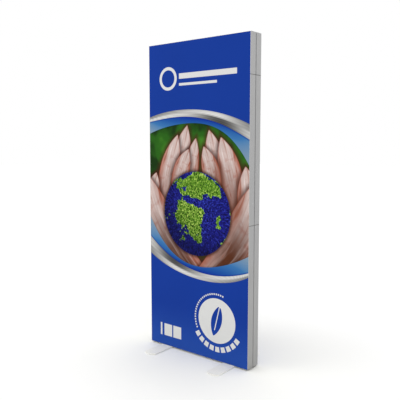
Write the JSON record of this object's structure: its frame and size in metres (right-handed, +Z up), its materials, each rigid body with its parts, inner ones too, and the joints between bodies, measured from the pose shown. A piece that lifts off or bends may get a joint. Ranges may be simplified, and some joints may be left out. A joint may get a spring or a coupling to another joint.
{
  "type": "fabric frame display stand",
  "caption": "Free-standing display stand: a deep grooved aluminium frame with stretched printed fabric on its front and back, on flat swivelling foot plates.",
  "frame": {"origin": "on the floor, under the middle of the frame", "axes": "+Z up, -Y out of the front graphic, +X to the right as the front is looked at"},
  "size_m": [0.9, 0.525, 2.2586],
  "materials": {
    "frame_aluminium": "satin silver anodised, fine lengthwise draw lines",
    "bracket_aluminium": "bare, mill finish",
    "zinc_steel": "bright zinc plate",
    "foot_paint": "light grey satin powder coat",
    "pad_rubber": "matt black",
    "silicone": "translucent white silicone",
    "saddle_nylon": "black glass-filled nylon",
    "front_print": "matt woven polyester with a blue print",
    "back_print": "matt woven polyester with a blue print"
  },
  "bodies": {
    "frame": {"upright_left_lower": "frame_aluminium", "upright_left_middle": "frame_aluminium", "upright_left_upper": "frame_aluminium", "upright_right_lower": "frame_aluminium", "upright_right_middle": "frame_aluminium", "upright_right_upper": "frame_aluminium", "top_rail": "frame_aluminium", "bottom_rail": "frame_aluminium", "corner_bracket_bottom_left": "bracket_aluminium", "corner_bracket_top_left": "bracket_aluminium", "joiner_left_lower": "bracket_aluminium", "joiner_left_upper": "bracket_aluminium", "corner_screw_bottom_left_rail": "zinc_steel", "corner_screw_top_left_rail": "zinc_steel", "joiner_screw_left_lower_below": "zinc_steel", "joiner_screw_left_upper_below": "zinc_steel", "brace_saddle_left": "saddle_nylon", "corner_bracket_bottom_right": "bracket_aluminium", "corner_bracket_top_right": "bracket_aluminium", "joiner_right_lower": "bracket_aluminium", "joiner_right_upper": "bracket_aluminium", "corner_screw_bottom_right_rail": "zinc_steel", "corner_screw_top_right_rail": "zinc_steel", "joiner_screw_right_lower_below": "zinc_steel", "joiner_screw_right_upper_below": "zinc_steel", "brace_saddle_right": "saddle_nylon", "cross_brace": "frame_aluminium", "front_graphic": "front_print", "front_strip_left": "silicone", "front_strip_right": "silicone", "front_strip_bottom": "silicone", "front_strip_top": "silicone", "back_graphic": "back_print", "back_strip_left": "silicone", "back_strip_right": "silicone", "back_strip_bottom": "silicone", "back_strip_top": "silicone", "foot_nut_left": "zinc_steel", "foot_nut_right": "zinc_steel"},
    "foot_left": {"foot_plate_left": "foot_paint", "foot_pad_left_front": "pad_rubber", "foot_pad_left_rear": "pad_rubber"},
    "foot_bolt_left": {"foot_bolt_left": "zinc_steel"},
    "foot_right": {"foot_plate_right": "foot_paint", "foot_pad_right_front": "pad_rubber", "foot_pad_right_rear": "pad_rubber"},
    "foot_bolt_right": {"foot_bolt_right": "zinc_steel"},
    "brace_latch_left": {"brace_latch_left": "zinc_steel"},
    "brace_latch_right": {"brace_latch_right": "zinc_steel"},
    "corner_screw_bottom_left": {"corner_screw_bottom_left_upright": "zinc_steel"},
    "corner_screw_top_left": {"corner_screw_top_left_upright": "zinc_steel"},
    "joiner_screw_left_lower": {"joiner_screw_left_lower_above": "zinc_steel"},
    "joiner_screw_left_upper": {"joiner_screw_left_upper_above": "zinc_steel"},
    "corner_screw_bottom_right": {"corner_screw_bottom_right_upright": "zinc_steel"},
    "corner_screw_top_right": {"corner_screw_top_right_upright": "zinc_steel"},
    "joiner_screw_right_lower": {"joiner_screw_right_lower_above": "zinc_steel"},
    "joiner_screw_right_upper": {"joiner_screw_right_upper_above": "zinc_steel"}
  },
  "joints": [
    {"name": "foot_swivel_left", "type": "hinge", "parent": "frame", "child": "foot_left", "pos_m": [-0.29, 0, 0.005], "axis": [0, 0, 1], "range_deg": [-90, 90]},
    {"name": "foot_bolt_turn_left", "type": "hinge", "parent": "frame", "child": "foot_bolt_left", "pos_m": [-0.29, 0, 0.005], "axis": [0, 0, -1], "range_deg": [0, 360]},
    {"name": "foot_swivel_right", "type": "hinge", "parent": "frame", "child": "foot_right", "pos_m": [0.29, 0, 0.005], "axis": [0, 0, 1], "range_deg": [-90, 90]},
    {"name": "foot_bolt_turn_right", "type": "hinge", "parent": "frame", "child": "foot_bolt_right", "pos_m": [0.29, 0, 0.005], "axis": [0, 0, -1], "range_deg": [0, 360]},
    {"name": "brace_latch_turn_left", "type": "hinge", "parent": "frame", "child": "brace_latch_left", "pos_m": [-0.3997, 0.0213, 1.1536], "axis": [0, 0, 1], "range_deg": [0, 90]},
    {"name": "brace_latch_turn_right", "type": "hinge", "parent": "frame", "child": "brace_latch_right", "pos_m": [0.3997, 0.0213, 1.1536], "axis": [0, 0, 1], "range_deg": [-90, 0]},
    {"name": "corner_screw_turn_bottom_left", "type": "hinge", "parent": "frame", "child": "corner_screw_bottom_left", "pos_m": [-0.42, 0, 0.0886], "axis": [1, 0, 0], "range_deg": [0, 360]},
    {"name": "corner_screw_turn_top_left", "type": "hinge", "parent": "frame", "child": "corner_screw_top_left", "pos_m": [-0.42, 0, 2.1786], "axis": [1, 0, 0], "range_deg": [0, 360]},
    {"name": "joiner_screw_turn_left_lower", "type": "hinge", "parent": "frame", "child": "joiner_screw_left_lower", "pos_m": [-0.42, 0, 1.0586], "axis": [1, 0, 0], "range_deg": [0, 360]},
    {"name": "joiner_screw_turn_left_upper", "type": "hinge", "parent": "frame", "child": "joiner_screw_left_upper", "pos_m": [-0.42, 0, 2.0486], "axis": [1, 0, 0], "range_deg": [0, 360]},
    {"name": "corner_screw_turn_bottom_right", "type": "hinge", "parent": "frame", "child": "corner_screw_bottom_right", "pos_m": [0.42, 0, 0.0886], "axis": [-1, 0, 0], "range_deg": [0, 360]},
    {"name": "corner_screw_turn_top_right", "type": "hinge", "parent": "frame", "child": "corner_screw_top_right", "pos_m": [0.42, 0, 2.1786], "axis": [-1, 0, 0], "range_deg": [0, 360]},
    {"name": "joiner_screw_turn_right_lower", "type": "hinge", "parent": "frame", "child": "joiner_screw_right_lower", "pos_m": [0.42, 0, 1.0586], "axis": [-1, 0, 0], "range_deg": [0, 360]},
    {"name": "joiner_screw_turn_right_upper", "type": "hinge", "parent": "frame", "child": "joiner_screw_right_upper", "pos_m": [0.42, 0, 2.0486], "axis": [-1, 0, 0], "range_deg": [0, 360]}
  ]
}
